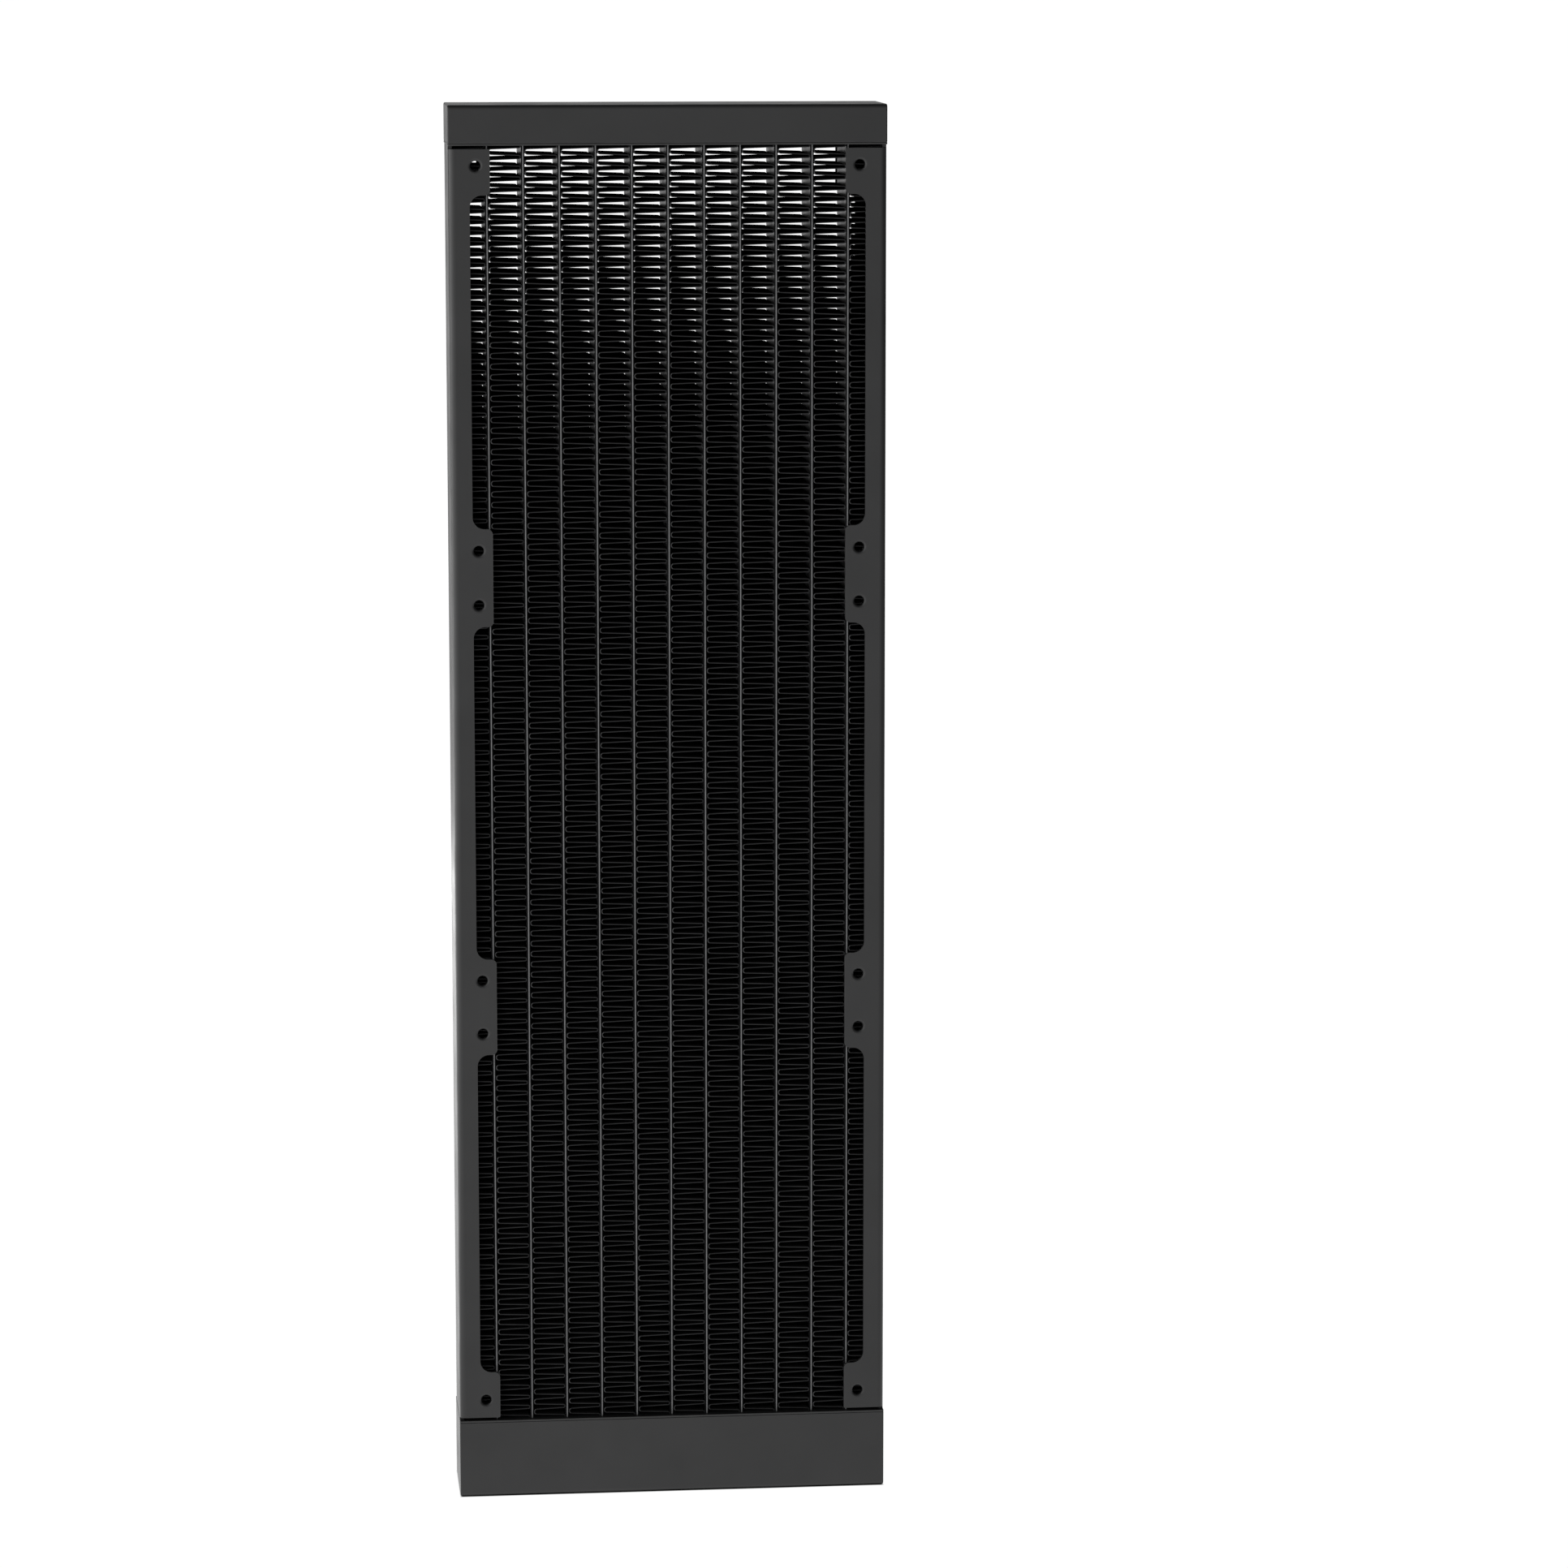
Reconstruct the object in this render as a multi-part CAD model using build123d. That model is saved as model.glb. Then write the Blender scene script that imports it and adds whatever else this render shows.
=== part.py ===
from build123d import *
from math import asin, atan2, ceil, cos, hypot, sin
import os

# Liquid cooling radiator for three 120 mm fans, standing on its ported tank.
# Frame: origin in the middle of the bottom tank's base, X across the width, +Z up the height,
# -Y towards the plain face and +Y towards the face with the hose ports. Millimetres.

# Fan pattern: three 120 mm fans side by side, screw holes on a 105 mm square each.
FAN_COUNT = 3
FAN_SIZE = 120.0
FAN_HOLE_SPACING = 105.0
FAN_PATTERN_CENTRE_Z = 200.5

# Overall build-up.
THICKNESS = 27.0
TANK_WIDTH = 120.0
FRAME_WIDTH = 119.8
BOTTOM_TANK_TOP_Z = 22.05
TOP_TANK_BOTTOM_Z = 378.4
TOTAL_HEIGHT = 389.4

# Tanks and header plates.
TANK_WALL = 1.2
TANK_BEND_RADIUS = 1.2
TANK_END_EDGE_RADIUS = 0.4
HEADER_THICKNESS = 0.6
HEADER_EDGE_RADIUS = 0.15
SEAM_EDGE_RADIUS = 0.2
DIVIDER_THICKNESS = 1.0

# Side frames: U-section channels. The flanges stop short of the tanks, the webs reach them.
FRAME_SHEET = 1.1
FRAME_BEND_RADIUS = 1.8
FLANGE_BOTTOM_Z = 22.9
FLANGE_TOP_Z = 377.5
FLANGE_EDGE_X = 54.1
TAB_EDGE_X = 48.6
END_TAB_REACH_BEYOND_HOLE = 8.0
MIDDLE_TAB_REACH_BEYOND_HOLE = 6.0
TAB_INNER_CORNER_RADIUS = 3.2
TAB_OUTER_CORNER_RADIUS = 1.5
TAB_END_CORNER_RADIUS = 0.4

# Fan screw holes: a pilot hole with a rounded mouth, opened to the pitch diameter of an M3 thread, in a
# collar drawn out behind the flange.
PILOT_HOLE_DIAMETER = 2.5
PILOT_HOLE_MOUTH_RADIUS = 0.85
SCREW_HOLE_DIAMETER = 2.7
COLLAR_DIAMETER = 4.6
COLLAR_HEIGHT = 0.8

# Core: flat tubes with folded fins between them.
TUBE_COUNT = 11
TUBE_PITCH = 9.88
TUBE_THICKNESS = 1.0
TUBE_DEPTH = 23.5
TUBE_WALL = 0.2
TUBE_REACH_INTO_TANK = 1.5
FIN_DEPTH = 22.0
FIN_SHEET = 0.25
FIN_PITCH = 2.919
FIN_FIRST_WIDE_BEND_Z = 23.53
FIN_WIDE_BEND_RADIUS = 0.72
FIN_NARROW_BEND_RADIUS = 0.44

# Hose ports: plain stubs through the rear wall of the bottom tank.
PORT_X = 25.4
PORT_OUTER_DIAMETER = 11.7
PORT_BORE_DIAMETER = 9.1
PORT_PROJECTION = 10.0
PORT_REACH_INTO_TANK = 1.0
PORT_END_CHAMFER = 0.3
PORT_RING_DIAMETER = 13.2
PORT_RING_THICKNESS = 0.7

HALF_THICKNESS = THICKNESS / 2
HALF_FRAME_WIDTH = FRAME_WIDTH / 2
CORE_BOTTOM_Z = BOTTOM_TANK_TOP_Z
CORE_TOP_Z = TOP_TANK_BOTTOM_Z
PORT_Z = BOTTOM_TANK_TOP_Z / 2
FIN_WIDTH = TUBE_PITCH - TUBE_THICKNESS

TUBE_X = [(index - (TUBE_COUNT - 1) / 2) * TUBE_PITCH for index in range(TUBE_COUNT)]
FAN_CENTRES_Z = [
    FAN_PATTERN_CENTRE_Z + (index - (FAN_COUNT - 1) / 2) * FAN_SIZE for index in range(FAN_COUNT)
]
HOLE_Z = [
    centre + side * FAN_HOLE_SPACING / 2 for centre in FAN_CENTRES_Z for side in (-1, 1)
]


def box_between(x_range, y_range, z_range):
    """A box given by its limits along each axis."""
    size = [high - low for low, high in (x_range, y_range, z_range)]
    middle = [(high + low) / 2 for low, high in (x_range, y_range, z_range)]
    return Pos(*middle) * Box(*size)


# ---- Tanks -------------------------------------------------------------------------------------

def tank_shell(outer_z, open_z):
    """A sheet-metal tank, bent over its long edges at outer_z, with flat ends, and open at open_z."""
    closed, opened = (0, -1) if outer_z < open_z else (-1, 0)
    half_width = TANK_WIDTH / 2
    z_range = sorted((outer_z, open_z))
    block = box_between((-half_width, half_width), (-HALF_THICKNESS, HALF_THICKNESS), z_range)
    long_edges = block.faces().sort_by(Axis.Z)[closed].edges().filter_by(Axis.X)
    block = fillet(long_edges, TANK_BEND_RADIUS)
    for end in (0, -1):
        end_edges = block.faces().sort_by(Axis.X)[end].edges().sort_by(Axis.Z)
        seam_edge = end_edges[opened]
        block = fillet([edge for edge in end_edges if edge != seam_edge], TANK_END_EDGE_RADIUS)
    block = fillet(block.faces().sort_by(Axis.Z)[opened].edges(), SEAM_EDGE_RADIUS)

    inner_half_width = half_width - TANK_WALL
    inner_half_thickness = HALF_THICKNESS - TANK_WALL
    inner_z = outer_z + TANK_WALL if outer_z < open_z else outer_z - TANK_WALL
    cavity_z = sorted((inner_z, open_z))
    cavity = box_between(
        (-inner_half_width, inner_half_width), (-inner_half_thickness, inner_half_thickness), cavity_z
    )
    return block - cavity


def top_tank():
    return tank_shell(TOTAL_HEIGHT, CORE_TOP_Z + HEADER_THICKNESS)


def bottom_tank():
    """The deeper tank, with a round hole in its rear wall for each hose port."""
    shell = tank_shell(0.0, CORE_BOTTOM_Z - HEADER_THICKNESS)
    for side in (-1, 1):
        shell -= port_cylinder(
            side * PORT_X, PORT_OUTER_DIAMETER, HALF_THICKNESS - 2 * TANK_WALL, HALF_THICKNESS + TANK_WALL
        )
    return shell


def header_plate(low_z):
    """A flat plate that closes a tank, with one slot for each tube."""
    half_width = TANK_WIDTH / 2
    plate = box_between(
        (-half_width, half_width), (-HALF_THICKNESS, HALF_THICKNESS), (low_z, low_z + HEADER_THICKNESS)
    )
    plate = fillet(plate.edges().filter_by(Axis.Z), TANK_END_EDGE_RADIUS)
    rim_edges = plate.edges().filter_by(Axis.Z, reverse=True)
    plate = fillet(rim_edges, HEADER_EDGE_RADIUS)
    for x in TUBE_X:
        plate -= tube_blank(x, low_z - HEADER_THICKNESS, low_z + 2 * HEADER_THICKNESS)
    return plate


def tank_divider():
    """The plate across the bottom tank that keeps the inlet and outlet halves apart."""
    middle_x = TUBE_PITCH / 2
    inner_half_thickness = HALF_THICKNESS - TANK_WALL
    return box_between(
        (middle_x - DIVIDER_THICKNESS / 2, middle_x + DIVIDER_THICKNESS / 2),
        (-inner_half_thickness, inner_half_thickness),
        (TANK_WALL, CORE_BOTTOM_Z - HEADER_THICKNESS),
    )


# ---- Core --------------------------------------------------------------------------------------

def flat_oval(x, depth, thickness, low_z, high_z):
    """An upright bar with a flat section whose two edges are full rounds."""
    section = Plane.XY.offset(low_z) * Pos(x, 0) * SlotOverall(depth, thickness, rotation=90)
    return extrude(section, amount=high_z - low_z)


def tube_blank(x, low_z, high_z):
    """The outer shape of a flat tube."""
    return flat_oval(x, TUBE_DEPTH, TUBE_THICKNESS, low_z, high_z)


def tube(x):
    """A flat coolant tube, open at both ends inside the tanks."""
    low_z = CORE_BOTTOM_Z - HEADER_THICKNESS - TUBE_REACH_INTO_TANK
    high_z = CORE_TOP_Z + HEADER_THICKNESS + TUBE_REACH_INTO_TANK
    channel = flat_oval(x, TUBE_DEPTH - 2 * TUBE_WALL, TUBE_THICKNESS - 2 * TUBE_WALL, low_z, high_z)
    return tube_blank(x, low_z, high_z) - channel


def fin_side(wide_radius, narrow_radius, first_wide_z, bend_count):
    """One side of the folded strip in the XZ plane, from the bottom up, as a list of edges.

    The wide bends lie against the tube on the left, the narrow bends against the one on the right.
    Each leg runs along the common tangent of the two bends that it joins.
    """
    wide_x = FIN_SHEET / 2 + FIN_WIDE_BEND_RADIUS
    narrow_x = FIN_WIDTH - FIN_SHEET / 2 - FIN_NARROW_BEND_RADIUS
    step_x = narrow_x - wide_x
    step_z = FIN_PITCH / 2
    radius_sum = FIN_WIDE_BEND_RADIUS + FIN_NARROW_BEND_RADIUS
    slope = atan2(step_z, step_x) - asin(radius_sum / hypot(step_x, step_z))
    wide_across = wide_radius * sin(slope)
    wide_up = wide_radius * cos(slope)
    narrow_across = narrow_radius * sin(slope)
    narrow_up = narrow_radius * cos(slope)

    here = (narrow_x + narrow_across, 0, first_wide_z - step_z + narrow_up)
    edges = []
    for index in range(bend_count):
        wide_z = first_wide_z + index * FIN_PITCH
        wide_start = (wide_x - wide_across, 0, wide_z - wide_up)
        wide_apex = (wide_x - wide_radius, 0, wide_z)
        wide_end = (wide_x - wide_across, 0, wide_z + wide_up)
        edges.append(Edge.make_line(here, wide_start))
        edges.append(Edge.make_three_point_arc(wide_start, wide_apex, wide_end))

        narrow_z = wide_z + step_z
        narrow_start = (narrow_x + narrow_across, 0, narrow_z - narrow_up)
        narrow_apex = (narrow_x + narrow_radius, 0, narrow_z)
        narrow_end = (narrow_x + narrow_across, 0, narrow_z + narrow_up)
        edges.append(Edge.make_line(wide_end, narrow_start))
        edges.append(Edge.make_three_point_arc(narrow_start, narrow_apex, narrow_end))
        here = narrow_end
    return edges


def fin_strip():
    """A folded fin strip cut to the core's height, its left side at x = 0."""
    half_sheet = FIN_SHEET / 2
    start_z = FIN_FIRST_WIDE_BEND_Z - FIN_PITCH
    bend_count = ceil((CORE_TOP_Z - start_z) / FIN_PITCH)
    left_of_sheet = fin_side(
        FIN_WIDE_BEND_RADIUS + half_sheet, FIN_NARROW_BEND_RADIUS - half_sheet, start_z, bend_count
    )
    right_of_sheet = fin_side(
        FIN_WIDE_BEND_RADIUS - half_sheet, FIN_NARROW_BEND_RADIUS + half_sheet, start_z, bend_count
    )
    lower_end = Edge.make_line(left_of_sheet[0] @ 0, right_of_sheet[0] @ 0)
    upper_end = Edge.make_line(left_of_sheet[-1] @ 1, right_of_sheet[-1] @ 1)
    section = Face(Wire(left_of_sheet + right_of_sheet + [lower_end, upper_end]))
    strip = Pos(0, -FIN_DEPTH / 2, 0) * extrude(section, amount=FIN_DEPTH, dir=(0, 1, 0))
    core = box_between((0, FIN_WIDTH), (-FIN_DEPTH / 2, FIN_DEPTH / 2), (CORE_BOTTOM_Z, CORE_TOP_Z))
    return strip & core


# ---- Side frames -------------------------------------------------------------------------------

def tab_heights():
    """The lowest and highest z of each screw tab: one at either end, and one over each pair of fans."""
    tabs = [(FLANGE_BOTTOM_Z, HOLE_Z[0] + END_TAB_REACH_BEYOND_HOLE)]
    for lower_hole, upper_hole in zip(HOLE_Z[1:-1:2], HOLE_Z[2::2]):
        low_z = lower_hole - MIDDLE_TAB_REACH_BEYOND_HOLE
        high_z = upper_hole + MIDDLE_TAB_REACH_BEYOND_HOLE
        tabs.append((low_z, high_z))
    tabs.append((HOLE_Z[-1] - END_TAB_REACH_BEYOND_HOLE, FLANGE_TOP_Z))
    return tabs


def flange_outline():
    """The right-hand frame's flange in the XZ plane: its points, and the radius at each of them."""
    root_x = HALF_FRAME_WIDTH - FRAME_BEND_RADIUS
    outline = [(root_x, FLANGE_TOP_Z), (root_x, FLANGE_BOTTOM_Z)]
    corner_radii = [0.0, 0.0]
    for low_z, high_z in tab_heights():
        starts_inside = low_z > FLANGE_BOTTOM_Z
        ends_inside = high_z < FLANGE_TOP_Z
        if starts_inside:
            outline.append((FLANGE_EDGE_X, low_z))
            corner_radii.append(TAB_INNER_CORNER_RADIUS)
        outline.append((TAB_EDGE_X, low_z))
        corner_radii.append(TAB_OUTER_CORNER_RADIUS if starts_inside else TAB_END_CORNER_RADIUS)
        outline.append((TAB_EDGE_X, high_z))
        corner_radii.append(TAB_OUTER_CORNER_RADIUS if ends_inside else TAB_END_CORNER_RADIUS)
        if ends_inside:
            outline.append((FLANGE_EDGE_X, high_z))
            corner_radii.append(TAB_INNER_CORNER_RADIUS)
    return outline, corner_radii


def drill_screw_holes(plate):
    """The plate with its collared screw holes, each with a rounded mouth in the face at y = 0."""
    hole_x = FAN_HOLE_SPACING / 2
    collar_end_y = FRAME_SHEET + COLLAR_HEIGHT
    for z in HOLE_Z:
        plate += round_along_y(hole_x, z, COLLAR_DIAMETER, FRAME_SHEET / 2, collar_end_y)
        plate -= round_along_y(hole_x, z, PILOT_HOLE_DIAMETER, 0, collar_end_y)
    mouths = plate.edges().filter_by(GeomType.CIRCLE).group_by(Axis.Y)[0]
    plate = fillet(mouths, PILOT_HOLE_MOUTH_RADIUS)
    for z in HOLE_Z:
        plate -= round_along_y(hole_x, z, SCREW_HOLE_DIAMETER, 0, collar_end_y)
    return plate


def flange():
    """The right-hand frame's flange, with its outer face in the plane y = 0 and its body behind it."""
    outline, corner_radii = flange_outline()
    sheet = make_face(Plane.XZ * Polyline(*outline, close=True))
    plate = drill_screw_holes(extrude(sheet, amount=FRAME_SHEET, dir=(0, 1, 0)))
    for radius in sorted(set(corner_radii) - {0.0}):
        points = [point for point, wanted in zip(outline, corner_radii) if wanted == radius]
        corners = [edge for edge in plate.edges().filter_by(Axis.Y) if near_any(edge.center(), points)]
        plate = fillet(corners, radius)
    return plate


def near_any(place, points):
    """True where the place lies on one of the (x, z) points."""
    tolerance = 0.01
    return any(hypot(place.X - x, place.Z - z) < tolerance for x, z in points)


def round_along_y(x, z, diameter, start_y, end_y):
    """A cylinder along +Y from start_y to end_y."""
    circle = Plane((x, start_y, z), z_dir=(0, 1, 0)) * Circle(diameter / 2)
    return extrude(circle, amount=end_y - start_y)


def frame_web():
    """The right-hand frame's side wall with its two bends, the full height between the tanks."""
    bend_x = HALF_FRAME_WIDTH - FRAME_BEND_RADIUS
    outer = box_between(
        (bend_x - FRAME_BEND_RADIUS, HALF_FRAME_WIDTH),
        (-HALF_THICKNESS, HALF_THICKNESS),
        (CORE_BOTTOM_Z, CORE_TOP_Z),
    )
    outer = fillet(outer.edges().filter_by(Axis.Z).sort_by(Axis.X)[-2:], FRAME_BEND_RADIUS)
    hollow = box_between(
        (bend_x - 2 * FRAME_BEND_RADIUS, HALF_FRAME_WIDTH - FRAME_SHEET),
        (-HALF_THICKNESS + FRAME_SHEET, HALF_THICKNESS - FRAME_SHEET),
        (CORE_BOTTOM_Z, CORE_TOP_Z),
    )
    hollow = fillet(hollow.edges().filter_by(Axis.Z).sort_by(Axis.X)[-2:], FRAME_BEND_RADIUS - FRAME_SHEET)
    channel = outer - hollow
    arm_tips = box_between(
        (bend_x - 2 * FRAME_BEND_RADIUS, bend_x),
        (-THICKNESS, THICKNESS),
        (CORE_BOTTOM_Z, CORE_TOP_Z),
    )
    channel -= arm_tips
    for low_z, high_z in ((CORE_BOTTOM_Z, FLANGE_BOTTOM_Z), (FLANGE_TOP_Z, CORE_TOP_Z)):
        for side in (-1, 1):
            bend_y = sorted((side * (HALF_THICKNESS - FRAME_BEND_RADIUS), side * THICKNESS))
            channel -= box_between((0, FRAME_WIDTH), bend_y, (low_z, high_z))
    return channel


def right_side_frame():
    front = Pos(0, -HALF_THICKNESS, 0) * flange()
    rear = mirror(front, about=Plane.XZ)
    return frame_web() + front + rear


def left_side_frame():
    return mirror(right_side_frame(), about=Plane.YZ)


# ---- Hose ports --------------------------------------------------------------------------------

def port_cylinder(x, diameter, start_y, end_y):
    return round_along_y(x, PORT_Z, diameter, start_y, end_y)


def port(x):
    """A plain stub with a small base ring against the tank's rear wall."""
    inner_y = HALF_THICKNESS - TANK_WALL - PORT_REACH_INTO_TANK
    end_y = HALF_THICKNESS + PORT_PROJECTION
    stub = port_cylinder(x, PORT_OUTER_DIAMETER, inner_y, end_y)
    stub = chamfer(stub.edges().filter_by(GeomType.CIRCLE).sort_by(Axis.Y)[-1], PORT_END_CHAMFER)
    stub += port_cylinder(x, PORT_RING_DIAMETER, HALF_THICKNESS, HALF_THICKNESS + PORT_RING_THICKNESS)
    stub -= port_cylinder(x, PORT_BORE_DIAMETER, inner_y, end_y)
    return stub


# ---- Assembly ----------------------------------------------------------------------------------

def radiator():
    """Every sub-part under its own name."""
    pieces = {
        "top_tank": top_tank(),
        "bottom_tank": bottom_tank(),
        "top_header_plate": header_plate(CORE_TOP_Z),
        "bottom_header_plate": header_plate(CORE_BOTTOM_Z - HEADER_THICKNESS),
        "tank_divider": tank_divider(),
        "left_side_frame": left_side_frame(),
        "right_side_frame": right_side_frame(),
        "port_left": port(-PORT_X),
        "port_right": port(PORT_X),
    }
    for number, x in enumerate(TUBE_X, start=1):
        pieces[f"tube_{number:02d}"] = tube(x)

    strip = fin_strip()
    left_sides = [TUBE_X[0] - TUBE_PITCH + TUBE_THICKNESS / 2]
    left_sides += [x + TUBE_THICKNESS / 2 for x in TUBE_X]
    for number, x in enumerate(left_sides, start=1):
        pieces[f"fin_{number:02d}"] = Pos(x, 0, 0) * strip
    return pieces


os.makedirs("parts", exist_ok=True)
for name, shape in radiator().items():
    export_step(shape, f"parts/{name}.step")
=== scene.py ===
import itertools
import math

import bpy
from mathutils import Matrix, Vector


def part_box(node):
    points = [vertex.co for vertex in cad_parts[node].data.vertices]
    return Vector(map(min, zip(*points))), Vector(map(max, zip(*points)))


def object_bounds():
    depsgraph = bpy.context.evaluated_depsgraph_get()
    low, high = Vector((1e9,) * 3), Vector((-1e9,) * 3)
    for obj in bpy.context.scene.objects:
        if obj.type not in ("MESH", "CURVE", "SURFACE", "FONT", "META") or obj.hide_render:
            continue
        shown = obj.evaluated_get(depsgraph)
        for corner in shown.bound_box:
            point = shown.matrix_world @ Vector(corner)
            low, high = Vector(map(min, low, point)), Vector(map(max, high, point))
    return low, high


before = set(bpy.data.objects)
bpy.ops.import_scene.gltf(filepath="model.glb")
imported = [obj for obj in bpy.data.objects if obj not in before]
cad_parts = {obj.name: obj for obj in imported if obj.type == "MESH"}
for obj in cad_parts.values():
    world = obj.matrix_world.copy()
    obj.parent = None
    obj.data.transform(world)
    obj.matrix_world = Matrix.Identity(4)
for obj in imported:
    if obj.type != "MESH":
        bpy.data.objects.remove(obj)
CAD_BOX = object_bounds()

# ---------------------------------------------------------------- driving values, in metres
MM = 0.001

# The view: the camera stands in front, a little to the left and a little higher than the top tank.
CAMERA_PLACE = (-0.1157, -1.4684, 0.4340)
CAMERA_PITCH_DOWN = 0.1573
CAMERA_TURN_RIGHT = 0.1009
CAMERA_LENS = 122.44
CAMERA_SENSOR = 36.0
CAMERA_NEAR = 0.01
CAMERA_FAR = 200.0

# The studio: a white floor that runs to the horizon, in a soft room.
FLOOR_RADIUS = 60.0
FLOOR_SIDES = 64
FLOOR_COLOR = (0.05, 0.05, 0.05)
WHITE = (1.0, 1.0, 1.0)
# What the object gets from the floor: the room's light times the bounce, by the heading from a point
# this far behind the origin.
FLOOR_BOUNCE = 1.88
FLOOR_PIVOT_Y = 1.0
# The contact shadow fades out between these distances beyond the outline of the tank.
CONTACT_SHADOW_START = -0.5 * MM
CONTACT_SHADOW_END = 0.2 * MM

# Brightness of the room round the horizon: 0 and 1 are behind, 0.25 left, 0.5 in front and 0.75 right.
ROOM_AROUND = [
    (0.00, 0.45), (0.05, 0.35), (0.10, 0.10), (0.17, 0.15), (0.22, 1.55), (0.32, 1.55), (0.40, 0.95),
    (0.47, 0.62), (0.50, 0.56), (0.54, 0.47), (0.62, 0.17), (0.75, 0.05), (0.92, 0.08), (0.95, 0.35),
    (1.00, 0.45),
]
# How much of it is left with height: 0 at the horizon, 1 overhead.
ROOM_UPWARD = [(0.0, 1.0), (0.25, 1.25), (0.6, 0.9), (0.85, 0.35), (1.0, 0.15)]

# Colours, linear. Where there are two, the surface is mottled from the first to the second.
BLACK_PAINT = ((0.0070, 0.0072, 0.0075), (0.0125, 0.0125, 0.0130))
COPPER = ((0.030, 0.014, 0.008), (0.095, 0.042, 0.022))
BRASS = ((0.35, 0.20, 0.09), (0.60, 0.38, 0.17))
RUBBED_EDGE = (0.022, 0.022, 0.022)
# The fin colours paint light and shade: the inside colour is painted shade in the core, the edge colour is
# a painted highlight on the cut edges, and the bend colour is a painted highlight where the wide bends
# face the light on the left.
FIN_INSIDE_SHADE = (0.016, 0.016, 0.016)
FIN_EDGE_HIGHLIGHT = (0.030, 0.030, 0.031)
FIN_BEND_HIGHLIGHT = (0.090, 0.090, 0.092)
# The grey line along the tube tips is a painted highlight of the round noses.
TUBE_TIP_HIGHLIGHT = (0.250, 0.250, 0.254)

# Mottled factors: on the colour of the fins, and on the strength of the painted highlight along the tips
# of the tubes.
FIN_SHADE = (0.8, 1.2)
TUBE_HIGHLIGHT_STRENGTH = (0.75, 1.0)

# Roughness of each surface, from its glossiest patches to its dullest ones.
COAT_ROUGHNESS = (0.30, 0.42)
PORT_ROUGHNESS = (0.32, 0.46)
BRASS_ROUGHNESS = (0.35, 0.60)
FIN_ROUGHNESS = (0.75, 0.90)
FLOOR_ROUGHNESS = 0.9

# Bump of each surface: the size of its grain, and its depth.
COAT_GRAIN = (0.55 * MM, 0.012 * MM)
TUBE_GRAIN = (0.40 * MM, 0.010 * MM)
FIN_GRAIN = (0.30 * MM, 0.005 * MM)
PORT_GRAIN = (0.50 * MM, 0.015 * MM)
BRASS_GRAIN = (0.60 * MM, 0.010 * MM)

# Sizes of the patches in colour, gloss and wear, and in the strength of the painted highlight on the tube
# tips.
PAINT_CLOUD = 28 * MM
FIN_CLOUD = 6 * MM
GLOSS_PATCH = 9 * MM
TARNISH_PATCH = 5 * MM
WEAR_CHIP = 5 * MM
TUBE_HIGHLIGHT_PATCH = 2 * MM

# Noise values lie between about the first two. Edge wear fades in between the second two.
NOISE_RANGE = (0.3, 0.7)
WORN_NOISE = (0.40, 0.62)
NOISE_DETAIL = 4.0

# Where the finishes, the painted highlights and the painted shade change: distances from a node's outer
# edges, and the radius of a port's bore.
EDGE_WEAR_WIDTH = 0.4 * MM
FIN_EDGE_DEPTH = 0.25 * MM
FIN_BEND_WIDTH = 0.35 * MM
FIN_BEND_FADE = 0.25 * MM
TUBE_TIP_DEPTH = 0.036 * MM
TUBE_MATT_START = 0.55 * MM
TUBE_MATT_END = 0.90 * MM
PORT_BORE_EDGE = 4.62 * MM
PORT_BORE_BLEND = 0.08 * MM

# The specular level of satin paint, and how metallic the tarnished copper is.
FULL_SHINE = 0.5
COPPER_METALLIC = 0.8

# Every noise takes the next seed, so that no two of them line up.
noise_seeds = itertools.count()


# ---------------------------------------------------------------- node helpers
def add_node(tree, kind, **settings):
    """A new node of that kind, with its properties set."""
    node = tree.nodes.new(kind)
    for name, value in settings.items():
        setattr(node, name, value)
    return node


def add_math(tree, operation, *operands):
    """A math node. Each operand is a socket or a number."""
    node = add_node(tree, "ShaderNodeMath", operation=operation)
    for socket, operand in zip(node.inputs, operands):
        if isinstance(operand, bpy.types.NodeSocket):
            tree.links.new(operand, socket)
        else:
            socket.default_value = operand
    return node.outputs["Value"]


def add_ramp(tree, source, stops):
    """A colour ramp over the source value. Each stop is (position, grey level or colour)."""
    ramp = add_node(tree, "ShaderNodeValToRGB")
    tree.links.new(source, ramp.inputs["Fac"])
    elements = ramp.color_ramp.elements
    while len(elements) < len(stops):
        elements.new(stops[len(elements)][0])
    for element, (position, level) in zip(elements, stops):
        element.position = position
        colour = level if isinstance(level, tuple) else (level, level, level)
        element.color = (*colour, 1.0)
    return ramp.outputs["Color"]


def add_range(tree, source, low, high):
    """0 where the source is at the low value, 1 where it is at the high one, held beyond them."""
    spread = add_node(tree, "ShaderNodeMapRange")
    spread.inputs["From Min"].default_value = low
    spread.inputs["From Max"].default_value = high
    tree.links.new(source, spread.inputs["Value"])
    return spread.outputs["Result"]


def add_mix(tree, factor, first, second, blend_type="MIX"):
    """A colour mix. Each colour is a socket or a tuple, and the factor a socket or a number."""
    mix = add_node(tree, "ShaderNodeMix", data_type="RGBA", blend_type=blend_type)
    for name, value in (("Factor", factor), ("A", first), ("B", second)):
        socket = next(s for s in mix.inputs if s.name == name and s.enabled)
        if isinstance(value, bpy.types.NodeSocket):
            tree.links.new(value, socket)
        elif isinstance(value, tuple):
            socket.default_value = (*value, 1.0)
        else:
            socket.default_value = value
    return next(s for s in mix.outputs if s.enabled)


def add_product(tree, first, second):
    """One colour times the other. Each is a socket or a tuple."""
    return add_mix(tree, 1.0, first, second, "MULTIPLY")


def add_axes(tree, coordinates="Object"):
    """The outputs "X", "Y" and "Z" of those coordinates. The object's own ones are in metres."""
    place = add_node(tree, "ShaderNodeTexCoord")
    axes = add_node(tree, "ShaderNodeSeparateXYZ")
    tree.links.new(place.outputs[coordinates], axes.inputs["Vector"])
    return axes.outputs


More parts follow.
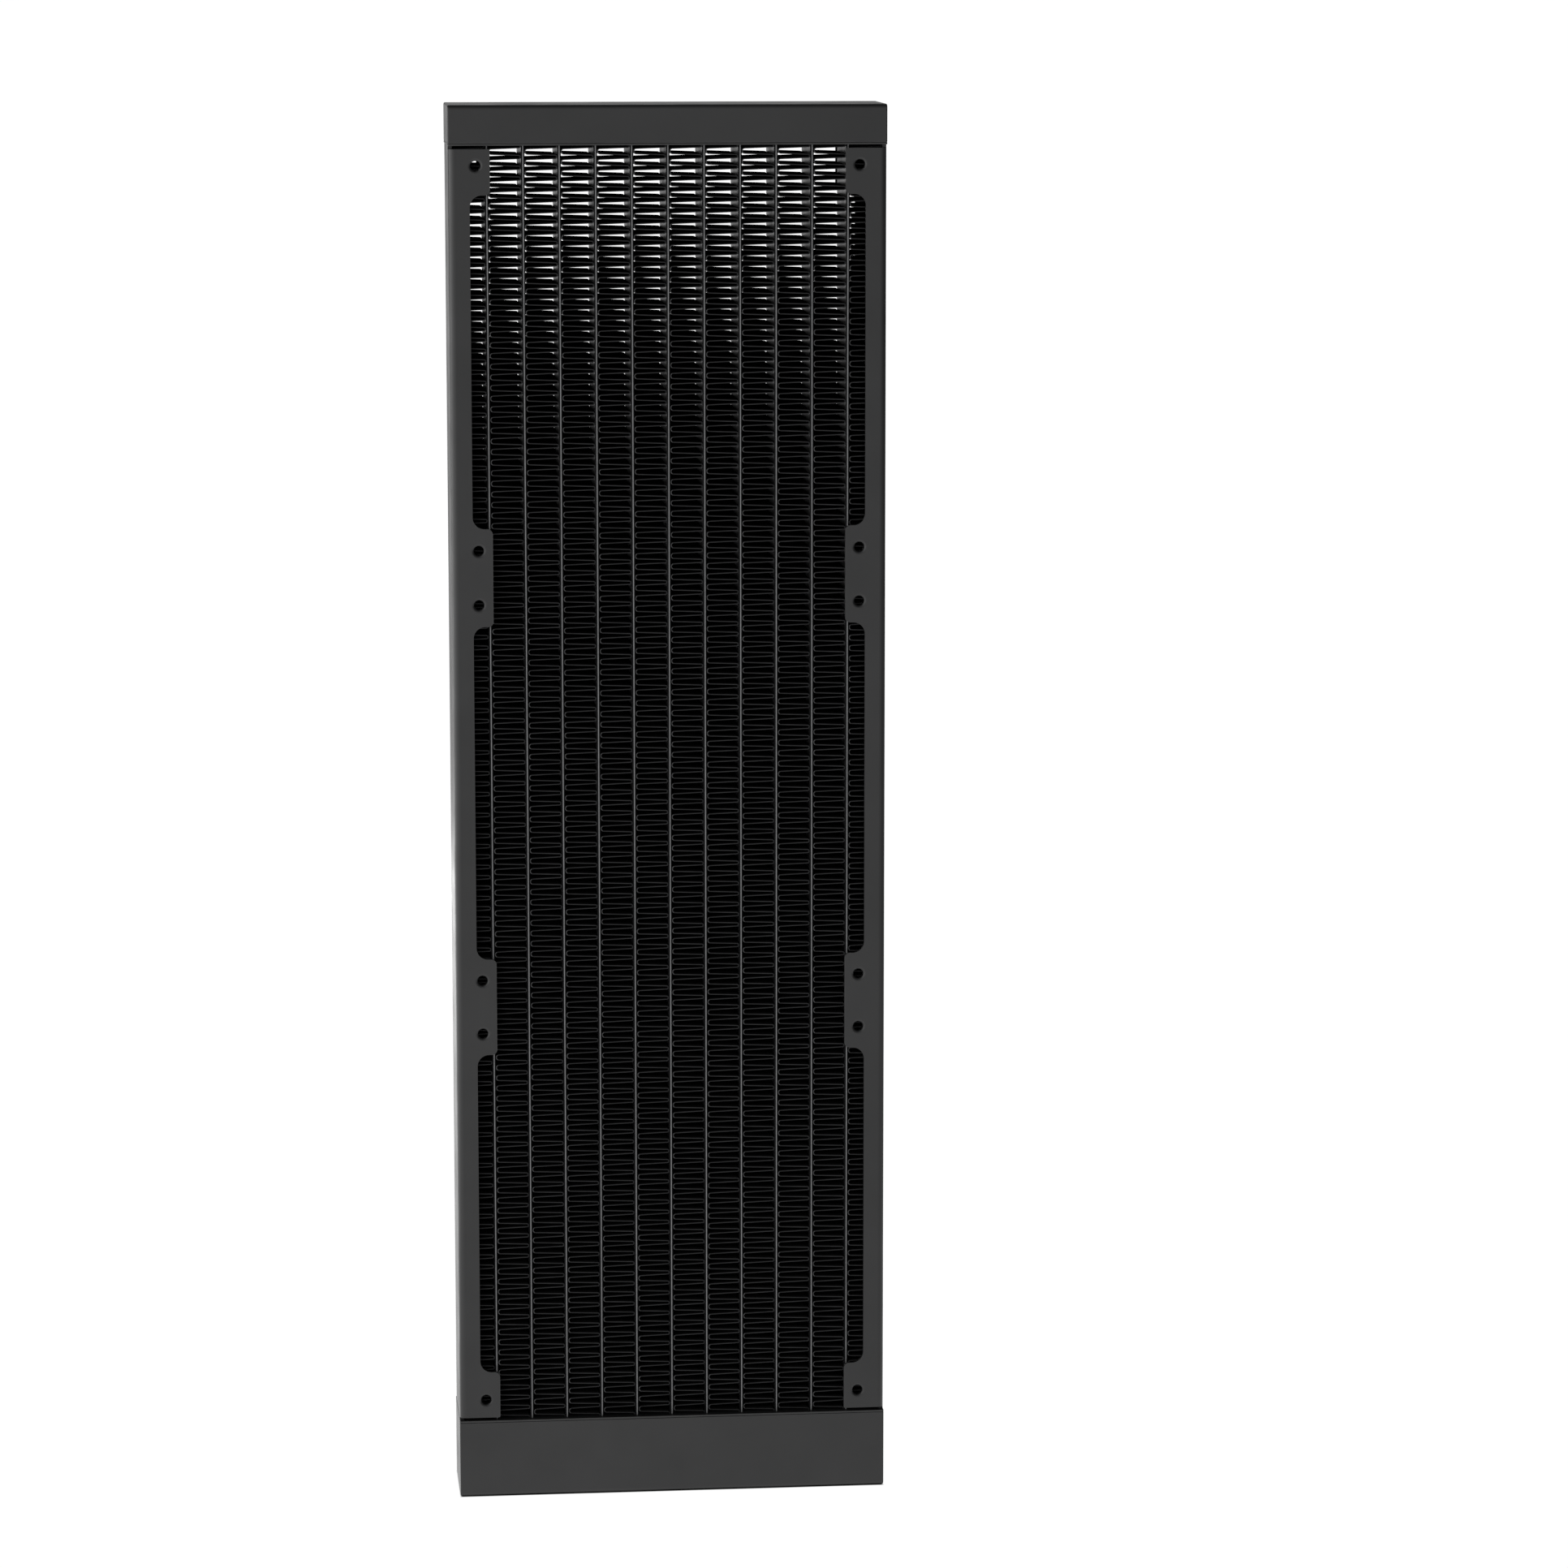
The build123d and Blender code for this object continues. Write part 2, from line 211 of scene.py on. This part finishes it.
def add_noise(tree, size):
    """Noise over the object's own coordinates, with patches of about that size in metres."""
    place = add_node(tree, "ShaderNodeTexCoord")
    noise = add_node(tree, "ShaderNodeTexNoise", noise_dimensions="4D")
    noise.inputs["Scale"].default_value = 1.0 / size
    noise.inputs["Detail"].default_value = NOISE_DETAIL
    noise.inputs["W"].default_value = next(noise_seeds)
    tree.links.new(place.outputs["Object"], noise.inputs["Vector"])
    return noise.outputs["Fac"]


def add_mottle(tree, size, shades):
    """Patches of that size, which go from the first to the second of two grey levels or colours."""
    return add_ramp(tree, add_noise(tree, size), list(zip(NOISE_RANGE, shades)))


def add_grain(tree, shader, grain):
    """A fine bump over the whole surface. The grain is (size, depth)."""
    size, depth = grain
    bump = add_node(tree, "ShaderNodeBump")
    bump.inputs["Distance"].default_value = depth
    tree.links.new(add_noise(tree, size), bump.inputs["Height"])
    tree.links.new(bump.outputs["Normal"], shader.inputs["Normal"])


def add_gloss(tree, shader, roughness):
    """Uneven roughness, in patches, between two values."""
    tree.links.new(add_mottle(tree, GLOSS_PATCH, roughness), shader.inputs["Roughness"])


def add_nearness(tree, socket, low, high, width, margin=0.0):
    """1 within the margin of the low or the high value, fading to 0 where the width is reached."""
    from_middle = add_math(tree, "ABSOLUTE", add_math(tree, "SUBTRACT", socket, (low + high) / 2))
    half = (high - low) / 2
    return add_range(tree, from_middle, half - width, half - margin)


def add_edge_mask(tree, box):
    """Broken wear along the edges of a box: 1 at an edge, fading to 0 at the width of the wear."""
    near = [add_nearness(tree, *ends, EDGE_WEAR_WIDTH) for ends in zip(add_axes(tree), *box)]
    # One side of the box counts 1, and an edge, where two sides meet, counts 2.
    total = add_math(tree, "ADD", add_math(tree, "ADD", near[0], near[1]), near[2])
    on_edge = add_range(tree, total, 1.0, 2.0)
    broken = add_range(tree, add_noise(tree, WEAR_CHIP), *WORN_NOISE)
    return add_math(tree, "MULTIPLY", on_edge, broken)


def new_material(name):
    """An empty node material with one Principled shader."""
    material = bpy.data.materials.new(name)
    material.use_nodes = True
    tree = material.node_tree
    tree.nodes.clear()
    output = add_node(tree, "ShaderNodeOutputMaterial")
    shader = add_node(tree, "ShaderNodeBsdfPrincipled")
    tree.links.new(shader.outputs["BSDF"], output.inputs["Surface"])
    return material, tree, shader


# ---------------------------------------------------------------- materials
def powder_coat(name, box):
    """Satin black powder coat: fine orange-peel grain, uneven gloss, and edges rubbed a little lighter."""
    material, tree, shader = new_material(name)
    clouded = add_mottle(tree, PAINT_CLOUD, BLACK_PAINT)
    colour = add_mix(tree, add_edge_mask(tree, box), clouded, RUBBED_EDGE)
    tree.links.new(colour, shader.inputs["Base Color"])
    add_gloss(tree, shader, COAT_ROUGHNESS)
    add_grain(tree, shader, COAT_GRAIN)
    return material


def tube_paint(name, box):
    """Satin black on the flat tubes, dead matt round both noses, with a grey painted highlight along the
    tips.
    """
    material, tree, shader = new_material(name)
    y = add_axes(tree)["Y"]
    on_tip = add_nearness(tree, y, box[0].y, box[1].y, TUBE_TIP_DEPTH)
    # Painted highlight: a grey line along each tube tip, unevenly strong in patches.
    tip_highlight = add_math(tree, "MULTIPLY", on_tip, add_mottle(tree, TUBE_HIGHLIGHT_PATCH, TUBE_HIGHLIGHT_STRENGTH))
    colour = add_mix(tree, tip_highlight, add_mottle(tree, PAINT_CLOUD, BLACK_PAINT), TUBE_TIP_HIGHLIGHT)
    tree.links.new(colour, shader.inputs["Base Color"])
    on_nose = add_nearness(tree, y, box[0].y, box[1].y, TUBE_MATT_END, TUBE_MATT_START)
    shine = add_math(tree, "MULTIPLY", add_math(tree, "SUBTRACT", 1.0, on_nose), FULL_SHINE)
    tree.links.new(shine, shader.inputs["Specular IOR Level"])
    add_gloss(tree, shader, COAT_ROUGHNESS)
    add_grain(tree, shader, TUBE_GRAIN)
    return material


def fin_paint(name, box, next_box):
    """Dead-matt black on the folded fins, darker inside the core as painted shade, and greyer along the
    cut edges as a painted highlight, most of all at the wide bends that face the light on the left.
    """
    material, tree, shader = new_material(name)
    axes = add_axes(tree)
    pitch = next_box[0].x - box[0].x
    columns = add_math(tree, "DIVIDE", add_math(tree, "SUBTRACT", axes["X"], box[0].x), pitch)
    from_left = add_math(tree, "MULTIPLY", add_math(tree, "FRACT", columns), pitch)
    # Painted light and shade: the highlight is lightest at the wide bends and lighter along the cut edges,
    # with painted shade in the core.
    past_bend = add_range(tree, from_left, FIN_BEND_WIDTH, FIN_BEND_WIDTH + FIN_BEND_FADE)
    edge = add_mix(tree, past_bend, FIN_BEND_HIGHLIGHT, FIN_EDGE_HIGHLIGHT)
    on_edge = add_nearness(tree, axes["Y"], box[0].y, box[1].y, FIN_EDGE_DEPTH)
    plain = add_mix(tree, on_edge, FIN_INSIDE_SHADE, edge)
    colour = add_product(tree, plain, add_mottle(tree, FIN_CLOUD, FIN_SHADE))
    tree.links.new(colour, shader.inputs["Base Color"])
    shader.inputs["Specular IOR Level"].default_value = 0.0
    add_gloss(tree, shader, FIN_ROUGHNESS)
    add_grain(tree, shader, FIN_GRAIN)
    return material


def port_paint(name, box):
    """Satin black on the outside of a hose stub, with bare dark copper in its bore."""
    material, tree, shader = new_material(name)
    axes = add_axes(tree)
    across = add_math(tree, "SUBTRACT", axes["X"], (box[0].x + box[1].x) / 2)
    up = add_math(tree, "SUBTRACT", axes["Z"], (box[0].z + box[1].z) / 2)
    squares = [add_math(tree, "POWER", offset, 2.0) for offset in (across, up)]
    from_axis = add_math(tree, "SQRT", add_math(tree, "ADD", *squares))
    painted = add_range(tree, from_axis, PORT_BORE_EDGE - PORT_BORE_BLEND, PORT_BORE_EDGE)
    tarnished = add_mottle(tree, TARNISH_PATCH, COPPER)
    colour = add_mix(tree, painted, tarnished, add_mottle(tree, PAINT_CLOUD, BLACK_PAINT))
    tree.links.new(colour, shader.inputs["Base Color"])
    bare = add_math(tree, "SUBTRACT", 1.0, painted)
    tree.links.new(add_math(tree, "MULTIPLY", bare, COPPER_METALLIC), shader.inputs["Metallic"])
    add_gloss(tree, shader, PORT_ROUGHNESS)
    add_grain(tree, shader, PORT_GRAIN)
    return material


def bare_brass(name):
    """The soldered plate inside the bottom tank: dull brass with tarnish and a rolled grain."""
    material, tree, shader = new_material(name)
    tree.links.new(add_mottle(tree, TARNISH_PATCH, BRASS), shader.inputs["Base Color"])
    shader.inputs["Metallic"].default_value = 1.0
    add_gloss(tree, shader, BRASS_ROUGHNESS)
    add_grain(tree, shader, BRASS_GRAIN)
    return material


def give(material, *nodes):
    """Puts the material in the slots of those CAD nodes."""
    for name in nodes:
        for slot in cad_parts[name].material_slots:
            slot.material = material


# ---------------------------------------------------------------- studio
def light_around(tree, x, y):
    """The brightness of the room in the direction of x and y."""
    heading = add_math(tree, "ARCTAN2", x, add_math(tree, "MULTIPLY", y, -1.0))
    return add_ramp(tree, add_range(tree, heading, -math.pi, math.pi), ROOM_AROUND)


def contact_shadow(tree, axes):
    """0 under the object and 1 outside its outline, fading across the outline of the bottom tank."""
    low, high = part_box("bottom_tank")
    beyond = []
    for axis, start, end in (("X", low.x, high.x), ("Y", low.y, high.y)):
        from_middle = add_math(tree, "ABSOLUTE", add_math(tree, "SUBTRACT", axes[axis], (start + end) / 2))
        beyond.append(add_math(tree, "SUBTRACT", from_middle, (end - start) / 2))
    distance = add_math(tree, "MAXIMUM", *beyond)
    return add_range(tree, distance, CONTACT_SHADOW_START, CONTACT_SHADOW_END)


def floor_material():
    """White to the camera. On the object it bounces the room's light, by heading from a point behind."""
    material, tree, shader = new_material("pale_floor")
    axes = add_axes(tree)
    around = light_around(tree, axes["X"], add_math(tree, "SUBTRACT", axes["Y"], FLOOR_PIVOT_Y))
    bounced = add_product(tree, around, (FLOOR_BOUNCE,) * 3)
    seen = add_node(tree, "ShaderNodeLightPath")
    glow = add_mix(tree, seen.outputs["Is Camera Ray"], bounced, WHITE)
    shadow = contact_shadow(tree, axes)
    tree.links.new(add_product(tree, glow, shadow), shader.inputs["Emission Color"])
    tree.links.new(add_product(tree, FLOOR_COLOR, shadow), shader.inputs["Base Color"])
    shader.inputs["Emission Strength"].default_value = 1.0
    shader.inputs["Roughness"].default_value = FLOOR_ROUGHNESS
    shader.inputs["Specular IOR Level"].default_value = 0.0
    return material


def make_floor():
    """A pale floor, wide enough that its edge lies at the horizon."""
    angles = [math.tau * index / FLOOR_SIDES for index in range(FLOOR_SIDES)]
    rim = [(FLOOR_RADIUS * math.cos(angle), FLOOR_RADIUS * math.sin(angle), 0.0) for angle in angles]
    mesh = bpy.data.meshes.new("floor")
    mesh.from_pydata(rim, [], [range(FLOOR_SIDES)])
    mesh.materials.append(floor_material())
    floor = bpy.data.objects.new("floor", mesh)
    floor.location.z = CAD_BOX[0].z
    bpy.context.scene.collection.objects.link(floor)


def room_light(tree):
    """Light by direction: a soft window on the left, a pale wall behind the object, dim on the right."""
    axes = add_axes(tree, "Generated")
    around = light_around(tree, axes["X"], axes["Y"])
    return add_product(tree, around, add_ramp(tree, axes["Z"], ROOM_UPWARD))


def make_room():
    """The soft room, which lights the object but looks plain white to the camera."""
    world = bpy.data.worlds.new("soft_room")
    bpy.context.scene.world = world
    world.use_nodes = True
    tree = world.node_tree
    tree.nodes.clear()
    seen = add_node(tree, "ShaderNodeLightPath")
    shown = add_mix(tree, seen.outputs["Is Camera Ray"], room_light(tree), WHITE)
    background = add_node(tree, "ShaderNodeBackground")
    tree.links.new(shown, background.inputs["Color"])
    output = add_node(tree, "ShaderNodeOutputWorld")
    tree.links.new(background.outputs["Background"], output.inputs["Surface"])


def make_camera():
    """The camera at the viewing angle of the reference."""
    data = bpy.data.cameras.new("camera")
    data.lens = CAMERA_LENS
    data.sensor_width = CAMERA_SENSOR
    data.clip_start = CAMERA_NEAR
    data.clip_end = CAMERA_FAR
    camera = bpy.data.objects.new("camera", data)
    camera.location = CAMERA_PLACE
    camera.rotation_euler = (math.pi / 2 - CAMERA_PITCH_DOWN, 0.0, -CAMERA_TURN_RIGHT)
    bpy.context.scene.collection.objects.link(camera)
    bpy.context.scene.camera = camera


# ---------------------------------------------------------------- assembly
TUBES = [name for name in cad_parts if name.startswith("tube_")]
FINS = [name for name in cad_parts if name.startswith("fin_")]
PORTS = [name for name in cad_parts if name.startswith("port_")]
COATED = ["top_tank", "bottom_tank", "top_header_plate", "bottom_header_plate",
          "left_side_frame", "right_side_frame"]

make_camera()
make_room()
make_floor()
bpy.context.scene.view_settings.view_transform = "Standard"

for name in COATED:
    give(powder_coat(f"{name}_coat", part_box(name)), name)
for name in PORTS:
    give(port_paint(f"{name}_paint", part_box(name)), name)
give(tube_paint("tube_paint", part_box(TUBES[0])), *TUBES)
give(fin_paint("fin_paint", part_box(FINS[0]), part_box(FINS[1])), *FINS)
give(bare_brass("divider_brass"), "tank_divider")
